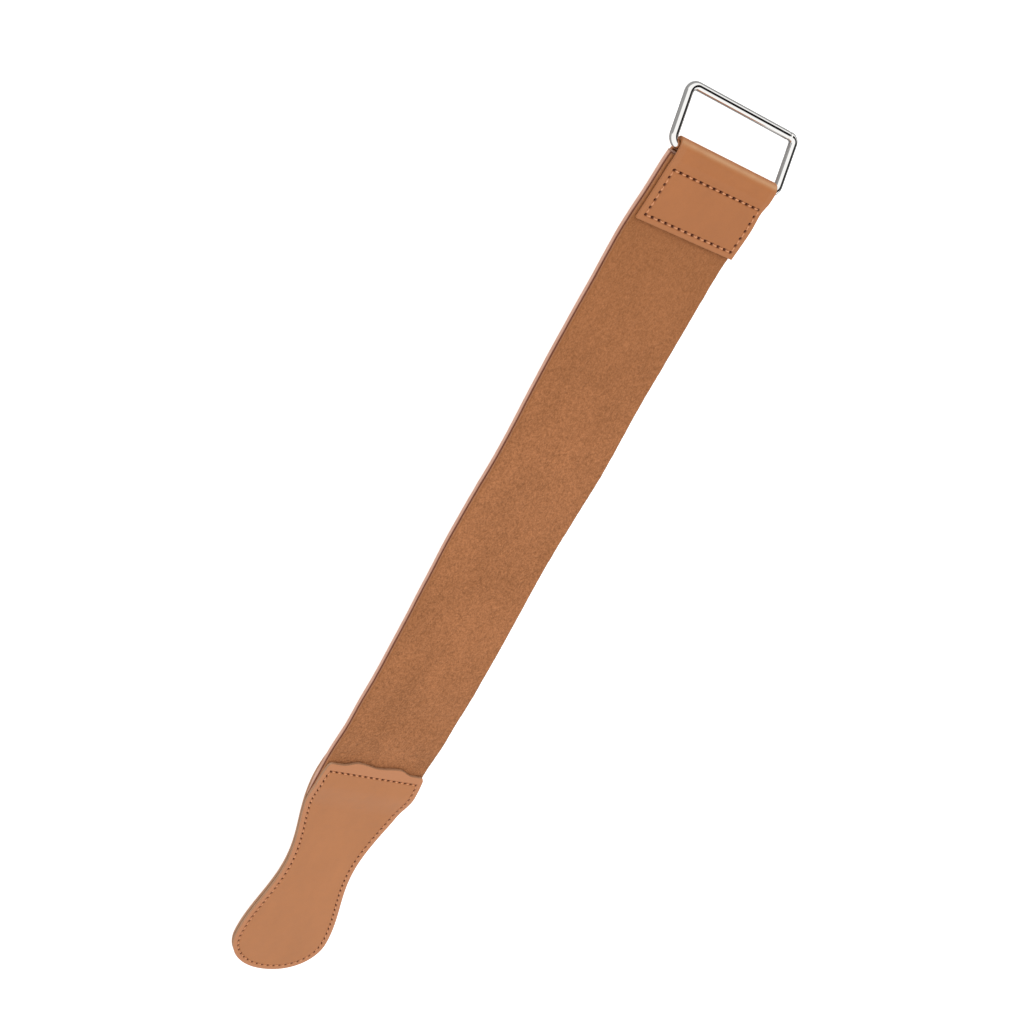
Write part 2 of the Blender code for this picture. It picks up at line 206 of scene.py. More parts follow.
LEATHER = hanger_line()
ALONG = np.concatenate([[0.0], np.cumsum(np.hypot(*np.diff(LEATHER, axis=0).T))])
HANGER_LONG = float(ALONG[-1])
TANGENTS = np.gradient(LEATHER, ALONG, axis=0)


def on_hanger(x, u, t):
    """Places on the developed hanger, t from its inner face, as it lies round the bar."""
    s, h = (np.interp(u, ALONG, LEATHER[:, k]) for k in range(2))
    d_s, d_h = (np.interp(u, ALONG, TANGENTS[:, k]) for k in range(2))
    size = np.hypot(d_s, d_h)
    off = (t - COVER_THICK / 2) / size
    skew = tan(radians(FOLD_SKEW)) * np.clip((s - HANGER_SEAM[1]) / (HANGER_BEND - HANGER_SEAM[1]), 0, 1)
    x = x * (1 - BACK_NARROWER * smooth((u / HANGER_LONG - 0.5) / 0.1))
    return lay(x + HANGER_SHIFT, s - d_h * off - x * skew, h + d_s * off)


def grain(x, s, size, seed):
    """Smooth noise from -1 to 1, with features of that size."""
    table = np.random.default_rng(seed).uniform(-1, 1, (128, 128))
    u, v = np.asarray(x) / size + 37.3, np.asarray(s) / size + 61.7
    iu, iv = np.floor(u).astype(int), np.floor(v).astype(int)
    fu, fv = smooth(u - iu), smooth(v - iv)
    low = table[iu % 128, iv % 128] * (1 - fu) + table[(iu + 1) % 128, iv % 128] * fu
    high = table[iu % 128, (iv + 1) % 128] * (1 - fu) + table[(iu + 1) % 128, (iv + 1) % 128] * fu
    return low * (1 - fv) + high * fv


# Materials. Every piece carries the attribute "flat", its own flat millimetres. Where they apply, it carries
# these too: "hole", 1 in a needle hole, painted dark as its shade, "margin", 1 outside a seam and near a cut
# edge, "glued", 1 on a darker line along a strap's edge where the other strap meets it, and "bent", 1 on the
# painted highlight along a fold's outside.


def node(tree, kind, links=(), **values):
    """A node with its settings and its inputs' values, fed by links of (input, socket)."""
    made = tree.nodes.new(kind)
    for key, value in values.items():
        if hasattr(made, key):
            setattr(made, key, value)
        else:
            made.inputs[key.replace("_", " ")].default_value = value
    for key, socket in links:
        tree.links.new(socket, made.inputs[key])
    return made


def attribute(tree, name, output="Fac"):
    """A socket with one of a mesh's attributes."""
    return node(tree, "ShaderNodeAttribute", attribute_name=name).outputs[output]


def cloud(tree, place, size, stretch=(1, 1, 1), detail=3.0, roughness=0.55):
    """Noise from 0 to 1 with features of that size, in millimetres."""
    scaled = node(tree, "ShaderNodeVectorMath", [(0, place)], operation="MULTIPLY")
    scaled.inputs[1].default_value = [k / size for k in stretch]
    values = {"Scale": 1.0, "Detail": detail, "Roughness": roughness}
    return node(tree, "ShaderNodeTexNoise", [("Vector", scaled.outputs[0])], **values).outputs["Fac"]


def maths(tree, operation, a, b):
    """A sum, difference or product of a and b, which are numbers or sockets."""
    made = node(tree, "ShaderNodeMath", operation=operation)
    for i, value in enumerate((a, b)):
        if isinstance(value, float):
            made.inputs[i].default_value = value
        else:
            tree.links.new(value, made.inputs[i])
    return made.outputs[0]


def blend(tree, *parts):
    """The sum of sockets, each with its share."""
    total = None
    for socket, share in parts:
        part = maths(tree, "MULTIPLY", socket, share)
        total = part if total is None else maths(tree, "ADD", total, part)
    return total


def between(tree, factor, a, b):
    """A colour from a to b, which are colours or sockets."""
    made = node(tree, "ShaderNodeMix", [(0, factor)], data_type="RGBA")
    for i, value in ((6, a), (7, b)):
        if isinstance(value, tuple):
            made.inputs[i].default_value = (*value, 1)
        else:
            tree.links.new(value, made.inputs[i])
    return made.outputs[2]


def spread(tree, value, low, high):
    """value, so that low becomes 0 and high becomes 1."""
    made = node(tree, "ShaderNodeMapRange", [("Value", value)], clamp=True)
    made.inputs["From Min"].default_value = low
    made.inputs["From Max"].default_value = high
    return made.outputs[0]


def bump(tree, height, distance, under=None):
    """Bump of that height in millimetres, over another one."""
    made = node(tree, "ShaderNodeBump", [("Height", height)], Strength=1.0, Distance=distance * MM)
    if under is not None:
        tree.links.new(under, made.inputs["Normal"])
    return made.outputs[0]


def new_look(name, **values):
    """A material, its node tree and its shader, with those values of the shader's own."""
    look = bpy.data.materials.new(name)
    look.use_nodes = True
    shader = look.node_tree.nodes["Principled BSDF"]
    for key, value in values.items():
        shader.inputs[key.replace("_", " ")].default_value = value
    return look, look.node_tree, shader


def darker(colour, share):
    return tuple(c * share for c in colour)


# Painted shade: the dark inside of a needle hole, and of the thread where it goes down into one.
HOLE_SHADE = (0.085, 0.014, 0.004)
# A darker line along a strap's edge, where the other strap meets it.
STRAP_LINE_BROWN = (0.17, 0.045, 0.02)
FOLD_HIGHLIGHT_TONE = (0.475, 0.246, 0.117)  # painted highlight along a fold's outside


def leather(name, colour, pale, roughness):
    """Smooth, finished leather: fine pores, soft creases, paler where it was cut and pressed."""
    look, tree, shader = new_look(name, IOR=1.45)
    shader.inputs["Specular IOR Level"].default_value = 0.45
    place = attribute(tree, "flat", "Vector")
    broad = cloud(tree, place, 22.0, (1, 0.5, 1), 4.0, 0.6)
    middle = cloud(tree, place, 3.5, (1, 0.8, 1), 3.0)
    fine = cloud(tree, place, 0.45, detail=3.0)
    tone = blend(tree, (broad, 0.55), (middle, 0.3), (fine, 0.15))
    base = between(tree, spread(tree, tone, 0.32, 0.68), darker(colour, 0.93), darker(colour, 1.07))
    base = between(tree, attribute(tree, "margin"), base, pale)
    # Painted highlight along the hanger's fold.
    base = between(tree, attribute(tree, "fold_highlight"), base, FOLD_HIGHLIGHT_TONE)
    # Painted shade in the needle holes.
    base = between(tree, attribute(tree, "hole"), base, HOLE_SHADE)
    tree.links.new(base, shader.inputs["Base Color"])
    uneven = maths(tree, "ADD", roughness - 0.08, maths(tree, "MULTIPLY", middle, 0.16))
    tree.links.new(uneven, shader.inputs["Roughness"])
    cells = node(tree, "ShaderNodeTexVoronoi", [("Vector", place)], Scale=1.5, Randomness=1.0)
    pores = spread(tree, cells.outputs["Distance"], 0.05, 0.55)
    creases = cloud(tree, place, 9.0, (0.35, 1.6, 1), 5.0, 0.62)
    height = bump(tree, pores, 0.018, bump(tree, creases, 0.10, bump(tree, fine, 0.03)))
    tree.links.new(height, shader.inputs["Normal"])
    return look


def cut_edge(name, colour, dark):
    """The cut side of leather: loose fibres in streaks along it, smoothed by hand in places."""
    look, tree, shader = new_look(name, Roughness=0.78, IOR=1.4)
    place = attribute(tree, "flat", "Vector")
    streaks = cloud(tree, place, 0.5, (0.35, 0.12, 1.6), 4.0, 0.6)
    patches = cloud(tree, place, 7.0, (1, 1, 0.3), 3.0)
    tone = blend(tree, (streaks, 0.6), (patches, 0.4))
    base = between(tree, spread(tree, tone, 0.3, 0.7), dark, colour)
    # The darker line where the other strap meets this edge.
    base = between(tree, attribute(tree, "strap_line"), base, STRAP_LINE_BROWN)
    tree.links.new(base, shader.inputs["Base Color"])
    tree.links.new(bump(tree, streaks, 0.12), shader.inputs["Normal"])
    return look


def suede(name, colour):
    """Brushed nap: fine mottling, short fibres, a soft sheen, and a darker tone towards the ring."""
    look, tree, shader = new_look(name, Roughness=0.95, IOR=1.35)
    shader.inputs["Specular IOR Level"].default_value = 0.2
    shader.inputs["Sheen Weight"].default_value = 0.25
    shader.inputs["Sheen Roughness"].default_value = 0.5
    shader.inputs["Sheen Tint"].default_value = (0.95, 0.75, 0.58, 1)
    place = attribute(tree, "flat", "Vector")
    broad = cloud(tree, place, 30.0, (1, 0.6, 1), 4.0, 0.6)
    clumps = cloud(tree, place, 1.3, (1, 0.9, 1), 4.0, 0.65)
    fibres = cloud(tree, place, 0.6, (1.0, 0.75, 1), 2.0, 0.6)
    tone = blend(tree, (broad, 0.2), (clumps, 0.35), (fibres, 0.45))
    pale = tuple(c * 1.3 + 0.02 for c in colour)
    base = between(tree, spread(tree, tone, 0.36, 0.64), darker(colour, 0.60), pale)
    along = node(tree, "ShaderNodeSeparateXYZ", [("Vector", place)]).outputs["Y"]
    towards_ring = maths(tree, "MULTIPLY", spread(tree, along, 70.0, 170.0), 0.5)
    base = between(tree, towards_ring, base, darker(colour, 0.8))
    # The darker line where the other strap meets this edge.
    base = between(tree, attribute(tree, "strap_line"), base, STRAP_LINE_BROWN)
    # Painted shade along the suede's cut edges.
    edge_shade = maths(tree, "MULTIPLY", attribute(tree, "margin"), 0.5)
    base = between(tree, edge_shade, base, darker(colour, 0.8))
    tree.links.new(base, shader.inputs["Base Color"])
    tree.links.new(bump(tree, fibres, 0.3, bump(tree, clumps, 0.25)), shader.inputs["Normal"])
    return look


def thread_look(name, colour):
    """Waxed thread with a little fuzz, with painted shade where it goes down into a needle hole."""
    look, tree, shader = new_look(name, Roughness=0.55, IOR=1.45)
    place = attribute(tree, "flat", "Vector")
    fuzz = cloud(tree, place, 0.18, detail=2.0)
    base = between(tree, fuzz, darker(colour, 0.8), darker(colour, 1.15))
    tree.links.new(between(tree, attribute(tree, "hole"), base, HOLE_SHADE), shader.inputs["Base Color"])
    tree.links.new(bump(tree, fuzz, 0.03), shader.inputs["Normal"])
    return look


def plated(name, colour):
    """Polished nickel: faint draw marks along the wire and a few duller patches."""
    look, tree, shader = new_look(name, Metallic=1.0)
    place = attribute(tree, "flat", "Vector")
    marks = cloud(tree, place, 0.35, (0.08, 1.5, 1), 3.0)
    patches = cloud(tree, place, 6.0, detail=2.0)
    base = between(tree, patches, darker(colour, 0.95), colour)
    tree.links.new(base, shader.inputs["Base Color"])
    dull = maths(tree, "ADD", 0.035, maths(tree, "MULTIPLY", spread(tree, patches, 0.5, 0.9), 0.06))
    tree.links.new(dull, shader.inputs["Roughness"])
    tree.links.new(bump(tree, marks, 0.0012), shader.inputs["Normal"])
    return look


HANGER_TONE, HANGER_PALE = (0.385, 0.139, 0.044), (0.40, 0.15, 0.052)
HANDLE_TONE, HANDLE_PALE = (0.4375, 0.171, 0.062), (0.485, 0.20, 0.087)
looks = {
    "suede": suede("suede_nap", (0.366, 0.137, 0.0466)),
    "strap": leather("strap_leather", (0.40, 0.17, 0.08), (0.45, 0.22, 0.12), 0.42),
    "hanger": leather("hanger_leather", HANGER_TONE, HANGER_PALE, 0.5),
    "handle": leather("handle_leather", HANDLE_TONE, HANDLE_PALE, 0.5),
    "raw": cut_edge("raw_edge", (0.60, 0.36, 0.27), (0.50, 0.27, 0.18)),
    "cover_edge": cut_edge("cover_edge", (0.42, 0.23, 0.13), (0.33, 0.17, 0.09)),
    "thread": thread_look("waxed_thread", (0.68, 0.31, 0.15)),
    "metal": plated("polished_nickel", (0.93, 0.92, 0.90)),
}


# Pieces.


def piece(name, points, faces, finishes, picked, attributes, body, cad_node):
    """A closed mesh of points in metres. picked says which of the finishes each face has."""
    mesh = bpy.data.meshes.new(name)
    mesh.from_pydata(points.tolist(), [], faces)
    for finish in finishes:
        mesh.materials.append(looks[finish])
    mesh.polygons.foreach_set("material_index", np.asarray(picked, dtype=np.int32))
    for key, values in attributes.items():
        kind, field = ("FLOAT_VECTOR", "vector") if values.ndim == 2 else ("FLOAT", "value")
        made = mesh.attributes.new(key, kind, "POINT")
        made.data.foreach_set(field, np.ascontiguousarray(values, dtype=np.float32).ravel())
    shell = bmesh.new()
    shell.from_mesh(mesh)
    bmesh.ops.recalc_face_normals(shell, faces=shell.faces)
    shell.to_mesh(mesh)
    shell.free()
    mesh.shade_smooth()
    thing = bpy.data.objects.new(name, mesh)
    bpy.context.collection.objects.link(thing)
    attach(thing, body)
    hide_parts(cad_node)
    return thing


def around(rows, columns, closed_rows=False):
    """The quads between rows of points that each go round once, and what column each is in."""
    i, k = np.meshgrid(np.arange(rows if closed_rows else rows - 1), np.arange(columns), indexing="ij")
    after, right = (i + 1) % rows, (k + 1) % columns
    corners = [i * columns + k, i * columns + right, after * columns + right, after * columns + k]
    return np.stack(corners, axis=-1).reshape(-1, 4).tolist(), k.ravel()


def end_faces(rows, columns):
    """The two faces that close such a tube at its first and its last row."""
    return [list(range(columns)), list(range((rows - 1) * columns, rows * columns))]


def rubbed(radius):
    """The steps of a cut edge that is rubbed round: how far in and how far down."""
    return [(radius * (1 - sin(a)), radius * (1 - cos(a))) for a in np.linspace(0, pi / 2, RUB_STEPS)]


def section(across_top, across_bottom, half, thick, radius):
    """A flat piece's section, going round it: x, t and what each stretch is: 0 top, 1 side, 2 bottom."""
    side = [(half - a, thick - b) for a, b in rubbed(radius)]
    side += [(half, thick * 0.5)] + [(half - a, b) for a, b in rubbed(radius)[::-1]]
    top = [(x, thick) for x in across_top]
    bottom = [(x, 0.0) for x in across_bottom[::-1]]
    left = [(-x, t) for x, t in side[::-1]]
    loop = top + side + bottom + left
    kinds = [0] * len(top) + [1] * (len(side) - 1) + [2] * (len(bottom) + 1) + [1] * (len(left) - 1) + [0]
    return np.array(loop), np.array(kinds)


EDGE_STEP = 0.25  # from a rubbed edge to the first line of mesh beside it


def strap(name, low, thick, radius, finishes, nap, other_above, cad_node):
    """A strap, with its cut edges rubbed round. other_above says that the other strap lies on top of it, and
    so on which side of its edges the darker line runs.
    """
    half = STRAP_WIDTH / 2
    inner = np.linspace(radius - half + EDGE_STEP, half - radius - EDGE_STEP, STRAP_COLUMNS)
    loop, kinds = section(inner, inner[::10], half, thick, radius)
    rows = np.linspace(STRAP_HANDLE_END, STRAP_TOP_END, STRAP_ROWS)
    x, s = np.meshgrid(loop[:, 0], rows)
    t = np.tile(loop[:, 1], (len(rows), 1))
    on_side = np.tile(np.abs(loop[:, 0]) > half - radius - 0.01, (len(rows), 1))
    # The knife's slow wander along each edge, and the fine roughness of the cut.
    wave = 0.10 * grain(np.sign(x) * 50, s, 14.0, 3) + 0.05 * grain(np.sign(x) * 50 + t, s, 2.0, 4)
    moved = x - np.sign(x) * 0.06 + 0.8 * wave * on_side
    height = t + np.where(t > thick * 0.6, nap(x, s), 0.0)
    faces, column = around(len(rows), len(loop))
    faces += end_faces(len(rows), len(loop))
    # A darker line on the side, next to the other strap.
    strap_line = smooth((t - thick + 0.9) / 0.6) if other_above else smooth((0.7 - t) / 0.4)
    attributes = {
        "flat": np.stack([x, s, t], axis=-1).reshape(-1, 3),
        "margin": smooth(1 - (half - np.abs(x)) / 1.1).ravel(),
        "strap_line": (strap_line * on_side).ravel(),
    }
    places = on_strap(moved, s, low + height).reshape(-1, 3)
    picked = np.append(kinds[column], [1, 1])
    return piece(name, places, faces, finishes, picked, attributes, "strop", cad_node)


def suede_nap(x, s):
    """Tufts of the brushed suede, on its soft unevenness."""
    return 0.07 * grain(x, s, 1.1, 11) + 0.05 * grain(x, s, 2.6, 12) + 0.06 * grain(x, s, 9.0, 13) - 0.08


def smooth_side(x, s):
    """The slight unevenness of smooth leather."""
    return 0.02 * grain(x, s, 6.0, 14) - 0.02


front_strap = strap(
    "suede_strap", FRONT_STRAP_LOW, FRONT_STRAP_THICK, radius=0.45, finishes=["suede", "suede", "strap"],
    nap=suede_nap, other_above=False, cad_node="front_strap",
)
back_strap = strap(
    "smooth_strap", BACK_STRAP_LOW, BACK_STRAP_THICK, radius=1.0, finishes=["strap", "raw", "strap"],
    nap=smooth_side, other_above=True, cad_node="back_strap",
)


def pressed(off, to_hole, long, wide):
    """How a seam shapes the leather at a distance from its line and from its nearest needle hole.

    The thread lies in a groove between two slight ridges, and each hole is an oval dent of that length
    and width. Gives the height, and how much of the place is hole.
    """
    groove = 0.12 * np.exp(-((off / 0.5) ** 2))
    ridges = 0.05 * np.exp(-(((np.abs(off) - 1.15) / 0.4) ** 2))
    from_hole = np.sqrt((to_hole / long) ** 2 + (off / wide) ** 2)
    dent = 0.75 * smooth(1.6 * (1.35 - from_hole))
    return ridges - groove - dent, smooth(1.5 * (1.45 - from_hole))


# The handle's covers.


def half_width(s):
    """Half the handle's width, from its shoulder to the widest place of its bulb."""
    (a, wide), (b, narrow), (c, bulb) = SHOULDER, NECK, BULB
    if s > a:
        t = (s - a) / (HANDLE_TOP - a)
        return wide - (wide - CORNER[0]) * t * t
    if s > b:
        return wide - (wide - narrow) * (1 - cos(pi * (s - a) / (b - a))) / 2
    return narrow + (bulb - narrow) * (1 - cos(pi * (s - b) / (c - b))) / 2


def side():
    """The right-hand side of the handle from its top corner to the middle of its tip."""
    points = [(half_width(s), s) for s in np.linspace(HANDLE_TOP - CORNER[1], BULB[0], 120)]
    long = BULB[0] - HANDLE_TIP
    for i in range(1, 60):
        a = pi / 2 * i / 60
        points.append((BULB[1] * cos(a) ** (2 / TIP_POWER), BULB[0] - long * sin(a) ** (2 / TIP_POWER)))
    return points + [(0.0, HANDLE_TIP)]


def scallop(x):
    """How far the top edge stands above its ends, at a place across it."""
    x = abs(x)
    if x > CREST_X:
        return CREST_HIGH * (1 + cos(pi * min(1.0, (x - CREST_X) / (CREST_FOOT - CREST_X)))) / 2
    return CREST_HIGH - VALLEY_DEEP * (1 + cos(pi * x / CREST_X)) / 2


def even(points, count):
    """count + 1 points at equal distances along an open path."""
    points = np.array(points)
    along = np.concatenate([[0], np.cumsum(np.hypot(*np.diff(points, axis=0).T))])
    at = np.linspace(0, along[-1], count + 1)
    return np.stack([np.interp(at, along, points[:, k]) for k in range(2)], axis=1)


EDGE = side()
TOP_COUNT = TOP_STITCHES * SAMPLES // 2
SIDE_COUNT = round(SEAM_SIDE_LONG / STITCH) * SAMPLES


def seam_half(off):
    """The right half of the seam's loop, moved out by off: top row, corner, side and tip."""
    corner = (HANDLE_SEAM_TOP_HALF + off, HANDLE_SEAM_TOP + off)
    inner = []
    for i in range(1, len(EDGE) - 1):
        (ax, ay), (bx, by) = EDGE[i - 1], EDGE[i + 1]
        size = hypot(bx - ax, by - ay)
        x = EDGE[i][0] + (by - ay) / size * (SEAM_MARGIN - off)
        y = EDGE[i][1] - (bx - ax) / size * (SEAM_MARGIN - off)
        if y < HANDLE_SEAM_TOP - 1.8 + min(off, 0.0):
            inner.append((x, y))
    top = even([(0.0, corner[1]), corner], TOP_COUNT)
    down = even([corner] + inner + [(0.0, HANDLE_TIP + SEAM_MARGIN - off)], SIDE_COUNT)
    return np.concatenate([top, down[1:]])


def outline_half():
    """The right half of the handle's outline, with a point for each of the seam's."""
    wide, radius = CORNER
    top = [(x, HANDLE_TOP + scallop(x)) for x in np.linspace(0, wide - radius, 200)]
    angles = np.linspace(pi / 2, 0, 13)
    bend = [(wide - radius * (1 - cos(a)), HANDLE_TOP - radius * (1 - sin(a))) for a in angles]
    halfway = len(bend) // 2
    upper = even(top + bend[1 : halfway + 1], TOP_COUNT)
    lower = even(bend[halfway:-1] + EDGE, SIDE_COUNT)
    return np.concatenate([upper, lower[1:]])


def both_halves(half):
    """The whole loop, clockwise from the middle of the top."""
    return np.concatenate([half, half[-2:0:-1] * (-1, 1)])


# Lines of mesh beside the seam, on both sides, and on the way in from there to the middle line.
SEAM_LINES = (1.0, 0.75, 0.55, 0.38, 0.2, 0.0, -0.2, -0.38, -0.55, -0.75, -1.0)
IN_STEPS = (0.06, 0.14, 0.24, 0.36, 0.48, 0.6, 0.72, 0.84, 0.93)
SPINE = (-113.0, -119.0, -214.0)  # along: where the seam's top middle, its corner and its tip close in to


def spine(half):
    """Where each point of the seam's half goes as the loops close on the middle line."""
    start, under_top, end = SPINE
    target = np.zeros_like(half)
    top = half[: TOP_COUNT + 1]
    target[: TOP_COUNT + 1, 1] = start + (under_top - start) * top[:, 0] / top[-1, 0]
    down = np.linspace(0, 1, SIDE_COUNT + 1)[1:]
    target[TOP_COUNT + 1 :, 1] = under_top + (end - under_top) * down
    return target


TOP_HOLE, SIDE_HOLE = 0.8, 0.42  # length of the needle holes in the top row and along the sides
HOLE_WIDE = 0.42


def cover(name, place, wear, cad_node):
    """One cover of the handle: loops of points from its middle line out, over its edge and back in."""
    edge, first, last = outline_half(), seam_half(SEAM_LINES[0]), seam_half(SEAM_LINES[-1])
    middle = spine(last)
    count = 2 * (len(edge) - 1)
    index = np.arange(len(edge))
    phase = np.abs((index - TOP_COUNT + SAMPLES // 2) % SAMPLES - SAMPLES // 2)
    top_step = 2 * HANDLE_SEAM_TOP_HALF / TOP_STITCHES / SAMPLES
    to_hole = phase * np.where(index < TOP_COUNT, top_step, STITCH / SAMPLES)
    long = np.where(index < TOP_COUNT, TOP_HOLE, SIDE_HOLE)
    loops, heights, holes, margins, kinds = [], [], [], [], []

    def all_round(value):
        """Values for the right half, mirrored for the whole loop."""
        values = np.broadcast_to(value, to_hole.shape)
        return np.concatenate([values, values[-2:0:-1]])

    def add(half, t, off=None, margin=0.0, kind=0):
        """One loop. kind is 0 for leather and 1 for its cut edge."""
        shape, hole = pressed(off, to_hole, long, HOLE_WIDE) if off is not None else (0.0, 0.0)
        loops.append(both_halves(half))
        heights.append(all_round(t + shape))
        holes.append(all_round(hole))
        margins.append(np.full(count, margin))
        kinds.append(kind)

    for share in IN_STEPS[::-1]:
        add(last + (middle - last) * share, COVER_THICK)
    for off in SEAM_LINES[::-1]:
        add(seam_half(off), COVER_THICK, off, smooth(0.5 + off))
    for share in (0.3, 0.6):
        add(first + (edge - first) * share, COVER_THICK, margin=1.0)
    normal = edge - first
    normal /= np.hypot(*normal.T)[:, None]
    # The upper steps over the rubbed edge still look like leather, and the others like a cut edge.
    for inward, down in rubbed(COVER_ROUND):
        add(edge - normal * inward, COVER_THICK - down, margin=1.0, kind=0 if down < 0.1 else 1)
    add(edge, COVER_THICK / 2, margin=1.0, kind=1)
    for inward, down in rubbed(COVER_ROUND)[::-1]:
        add(edge - normal * inward, down, margin=1.0, kind=1)
    for share in (0.0, 0.3, 0.6, 0.93):
        add(first + (middle - first) * share, 0.0)

    x, s = np.moveaxis(np.stack(loops), -1, 0)
    t = np.stack(heights)
    t = t + np.where(t > COVER_THICK * 0.6, wear(x, s), 0.0)
    faces, _ = around(len(loops), count)
    picked = np.repeat(np.maximum(kinds[:-1], kinds[1:]), count)
    # The first and the last loop are closed by quads from side to side.
    half = count // 2
    for start in (0, (len(loops) - 1) * count):
        for a in range(half):
            b = a + 1
            quad = [start + v for v in (a, b, (count - b) % count, (count - a) % count)]
            faces.append(list(dict.fromkeys(quad)))
    picked = np.append(picked, np.zeros(2 * half))
    attributes = {
        "flat": np.stack([x, s, t], axis=-1).reshape(-1, 3),
        "margin": np.stack(margins).ravel(),
        "hole": np.stack(holes).ravel(),
    }
    points = place(x, s, t).reshape(-1, 3)
    finishes = ["handle", "cover_edge"]
    return piece(name, points, faces, finishes, picked, attributes, "strop", cad_node)


def handled(x, s):
    """Soft unevenness of leather stuck over the straps' ends and held in a hand."""
    return 0.05 * grain(x, s, 11.0, 21) + 0.02 * grain(x, s, 4.0, 22) - 0.04


def handled_behind(x, s):
    """The same with other bumps, for the back."""
    return handled(x + 200, s)


front_cover = cover("handle_front", on_front_cover, handled, "handle_front_cover")
back_cover = cover("handle_back", on_back_cover, handled_behind, "handle_back_cover")


# The hanger.

# Lines of mesh past the seam: beside it, towards the free edge and towards the fold.
BESIDE_SEAM = np.array([0.2, 0.4, 0.65, 0.9, 1.3, 1.75])
TO_FREE_EDGE = np.array([0.2, 0.4, 0.65, 0.9, 1.2, 1.6, 2.0, 2.4, 2.7])
TO_FOLD = np.array([0.2, 0.4, 0.65, 0.9, 1.2, 1.7, 2.4])
FOLD_ROWS = 46
ROW_HOLE, COLUMN_HOLE = (0.9, 0.52), (0.5, 0.5)  # length and width of the needle holes


def hanger_rows():
    """Where the developed hanger has points: across, and along the leather."""
    across, along = HANGER_STITCHES
    half = HANGER_SEAM_HALF
    inside = np.linspace(-half, half, across * SAMPLES + 1)
    outside = half + BESIDE_SEAM
    x = np.concatenate([-outside[::-1], inside, outside])
    low, high = (s - HANGER_EDGE for s in HANGER_SEAM)
    seam = np.linspace(low, high, along * SAMPLES + 1)
    flap = np.concatenate([low - TO_FREE_EDGE[::-1], seam, high + TO_FOLD])
    fold = np.linspace(flap[-1], HANGER_LONG - flap[-1], FOLD_ROWS)[1:-1]
    return x, np.concatenate([flap, fold, HANGER_LONG - flap[::-1]])


def hanger_shape(x, u):
    """The seam pressed into both flaps: height, how much is hole, and how much lies outside the seam."""
    across, along = HANGER_STITCHES
    half = HANGER_SEAM_HALF
    low, high = (s - HANGER_EDGE for s in HANGER_SEAM)
    v = np.minimum(u, HANGER_LONG - u)
    pitch_x, pitch_v = 2 * half / across, (high - low) / along
    on_x = np.abs((x + half) - pitch_x * np.round((x + half) / pitch_x))
    on_v = np.abs((v - low) - pitch_v * np.round((v - low) / pitch_v))
    beyond_x = np.maximum(np.abs(x) - half, 0.0)
    beyond_v = np.maximum(np.maximum(low - v, v - high), 0.0)
    lines = [(v - row, on_x, beyond_x, ROW_HOLE) for row in (low, high)]
    lines += [(x - column, on_v, beyond_v, COLUMN_HOLE) for column in (-half, half)]
    total, holes = 0.0, 0.0
    for off, to_hole, beyond, (long, wide) in lines:
        shape, hole = pressed(np.hypot(off, beyond), np.hypot(to_hole, beyond), long, wide)
        total = np.where(np.abs(shape) > np.abs(total), shape, total)
        holes = np.maximum(holes, hole)
    outside = smooth((np.abs(x) - half) / 0.6 + 0.5)
    outside = np.maximum(outside, smooth((low - v) / 0.6 + 0.5))
    return total, holes, np.clip(outside, 0, 1)


def pulled_in(x, u):
    """The hanger's right-hand edge is drawn in a little beside the seam's upper end."""
    v = np.minimum(u, HANGER_LONG - u)
    return -0.8 * smooth((x - 18.0) / 7.0) * np.exp(-(((v - 21.5) / 5.0) ** 2))


HIGHLIGHT_AT, HIGHLIGHT_WIDE = 34, 17  # degrees round the bar: where the painted highlight on the fold's outside lies, and how wide it is


def hanger():
    """The hanger's leather, shaped flat and folded round the bar."""
    across, rows = hanger_rows()
    half = HANGER_WIDTH / 2
    loop, kinds = section(across, across[::12], half, COVER_THICK, COVER_ROUND)
    x, u = np.meshgrid(loop[:, 0], rows)
    t = np.tile(loop[:, 1], (len(rows), 1))
    shape, holes, margin = hanger_shape(x, u)
    outer = t > COVER_THICK * 0.6
    # A painted highlight along the fold's outside, at a set angle round the bar.
    turned = np.arctan2(*(np.interp(u, ALONG, LEATHER[:, k]) - (BAR_Y, MIDDLE)[k] for k in (1, 0)))
    fold_highlight = 0.9 * np.exp(-(((np.degrees(turned) - HIGHLIGHT_AT) / HIGHLIGHT_WIDE) ** 2))
    fold_highlight = fold_highlight * (1 + 0.3 * grain(x, u, 3.0, 33))
    unevenness = 0.04 * grain(x, u, 9.0, 31) + 0.015 * grain(x, u, 3.0, 32) - 0.03
    height = t + np.where(outer, shape + unevenness, 0.0)
    places = on_hanger(x + pulled_in(x, u), u, height).reshape(-1, 3)
    faces, column = around(len(rows), len(loop))
    faces += end_faces(len(rows), len(loop))
    attributes = {
        "flat": np.stack([x, u, t], axis=-1).reshape(-1, 3),
        "margin": (margin * outer).ravel(),
        "hole": (holes * outer).ravel(),
        "fold_highlight": (fold_highlight * outer).ravel(),
    }
    picked = np.append(kinds[column], [1, 1])
    return piece(
        "ring_hanger", places, faces, ["hanger"] * 3, picked, attributes,
        body="strop", cad_node="hanger_leather",
    )


hanger_piece = hanger()


# Stitches: two plies laid round each other, over the leather from hole to hole.

PLY, TWIST_OFF = 0.21, 0.17  # a ply's radius, and its distance from the thread's middle
STITCH_POINTS, PLY_SIDES, TURNS = 12, 6, 1.25
DIP = 0.32  # share of a stitch that goes down into each of its holes
DIP_DEEP = 1.15


def by_stitch(values, count):
    """Values of [ply and side][stitch, point], in the order stitch, ply, point and side."""
    return np.stack(values).reshape(2, PLY_SIDES, count, STITCH_POINTS, 3).transpose(2, 0, 3, 1, 4)


